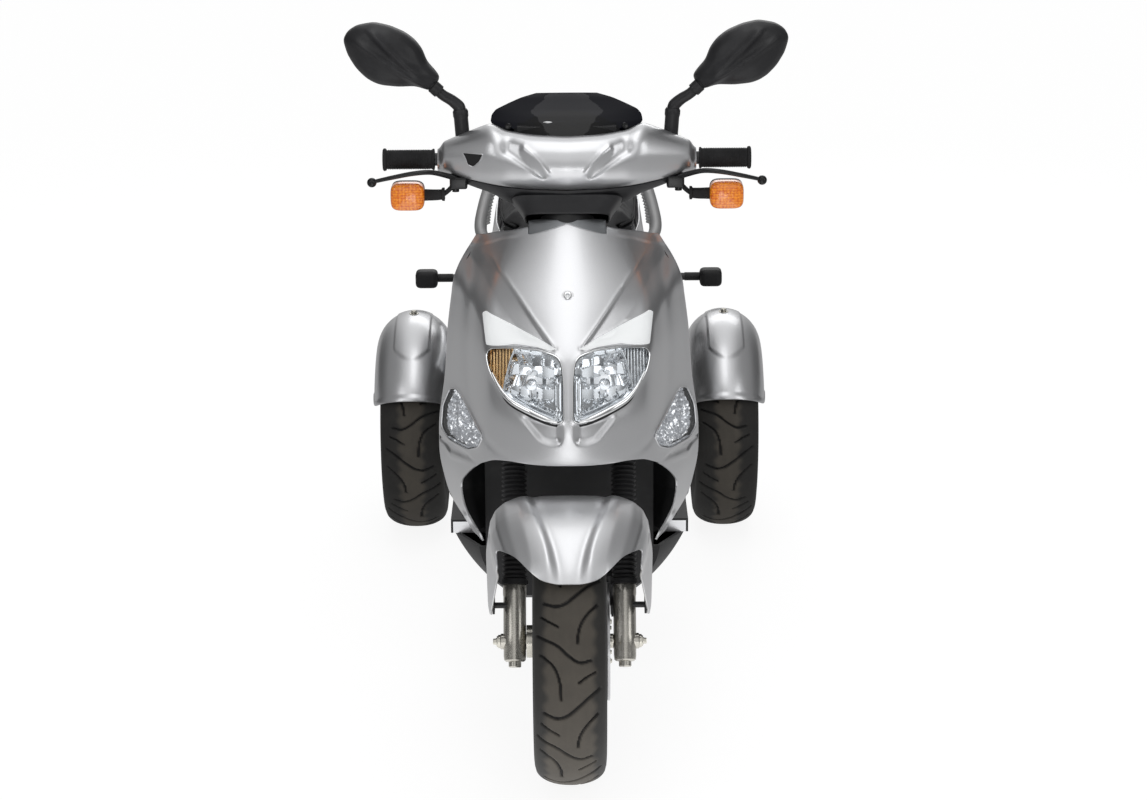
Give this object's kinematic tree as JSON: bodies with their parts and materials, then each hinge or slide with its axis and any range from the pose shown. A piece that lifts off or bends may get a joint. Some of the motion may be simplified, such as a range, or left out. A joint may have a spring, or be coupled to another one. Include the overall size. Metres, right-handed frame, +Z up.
{
  "type": "three-wheeled scooter",
  "caption": "Step-through motor scooter with a steered front wheel, a pair of rear wheels under separate half-round fenders, leg shield with lamps, flat floor, long seat and mirrors.",
  "frame": {"origin": "on the ground, at the middle of the whole length and width", "axes": "+Z up, +X to the rider's left, the vehicle faces -Y"},
  "size_m": [0.798, 1.87, 1.2088],
  "materials": {
    "silver_paint": "metallic gloss",
    "black_plastic": "matt, fine grain",
    "gloss_black": "gloss",
    "lamp_lens": "clear",
    "amber_lens": "gloss",
    "red_lens": "gloss",
    "smoked_screen": "smoked, gloss",
    "tyre_rubber": "matt",
    "soft_rubber": "matt",
    "seat_cover": "grained, satin",
    "black_frame": "satin",
    "cast_aluminium": "cast, satin",
    "bright_steel": "machined",
    "dark_steel": "satin",
    "mirror_glass": "mirror",
    "plate_white": "gloss"
  },
  "bodies": {
    "chassis": {"main_frame": "black_frame", "front_apron": "silver_paint", "inner_leg_shield": "black_plastic", "headlamp_left": "lamp_lens", "headlamp_right": "lamp_lens", "marker_lamp_left": "lamp_lens", "marker_lamp_right": "lamp_lens", "splash_guard": "black_plastic", "footboard": "black_plastic", "floor_side_beams": "silver_paint", "belly_pan": "black_plastic", "seat_box_front": "silver_paint", "underseat_bin": "black_plastic", "side_panel_left": "silver_paint", "side_panel_right": "silver_paint", "tail_cowl": "silver_paint", "tail_lamp": "red_lens", "grab_rail": "cast_aluminium", "engine_block": "cast_aluminium", "fan_cover": "black_plastic", "belt_case": "cast_aluminium", "air_box": "black_plastic", "rear_axle": "dark_steel", "rear_shocks": "bright_steel", "muffler": "dark_steel", "rear_fender_left": "silver_paint", "rear_fender_right": "silver_paint", "plate_hanger": "black_plastic", "number_plate": "plate_white", "lamp_bar": "dark_steel", "rear_indicators": "amber_lens"},
    "seat": {"seat_pan": "black_plastic", "seat_cushion": "seat_cover"},
    "steering": {"steering_stem": "dark_steel", "fork_sliders": "cast_aluminium", "fork_gaiters": "soft_rubber", "front_axle": "bright_steel", "brake_caliper": "dark_steel", "front_fender": "silver_paint", "bar_clamp": "dark_steel", "handlebar": "dark_steel", "grips": "soft_rubber", "brake_levers": "cast_aluminium", "cover_front": "silver_paint", "cover_rear": "black_plastic", "neck_cover": "black_plastic", "dial_panel": "gloss_black", "visor": "smoked_screen", "mirror_left": "gloss_black", "mirror_right": "gloss_black", "mirror_glasses": "mirror_glass", "indicator_stalks": "soft_rubber", "front_indicators": "amber_lens"},
    "front_wheel": {"front_tyre": "tyre_rubber", "front_rim": "cast_aluminium", "front_brake_disc": "bright_steel"},
    "rear_wheel_left": {"rear_tyre_left": "tyre_rubber", "rear_rim_left": "cast_aluminium"},
    "rear_wheel_right": {"rear_tyre_right": "tyre_rubber", "rear_rim_right": "cast_aluminium"}
  },
  "joints": [
    {"name": "steering", "type": "hinge", "parent": "chassis", "child": "steering", "pos_m": [0, -0.67114, 0.22241], "axis": [0, 0.4384, 0.8988], "range_deg": [-45, 45]},
    {"name": "front_wheel_spin", "type": "hinge", "parent": "steering", "child": "front_wheel", "pos_m": [0, -0.699, 0.236], "axis": [1, 0, 0], "continuous": true},
    {"name": "rear_wheel_left_spin", "type": "hinge", "parent": "chassis", "child": "rear_wheel_left", "pos_m": [0.321, 0.621, 0.218], "axis": [1, 0, 0], "continuous": true},
    {"name": "rear_wheel_right_spin", "type": "hinge", "parent": "chassis", "child": "rear_wheel_right", "pos_m": [-0.321, 0.621, 0.218], "axis": [1, 0, 0], "continuous": true},
    {"name": "seat_hinge", "type": "hinge", "parent": "chassis", "child": "seat", "pos_m": [0, 0.089, 0.736], "axis": [1, 0, 0], "range_deg": [0, 70]}
  ]
}
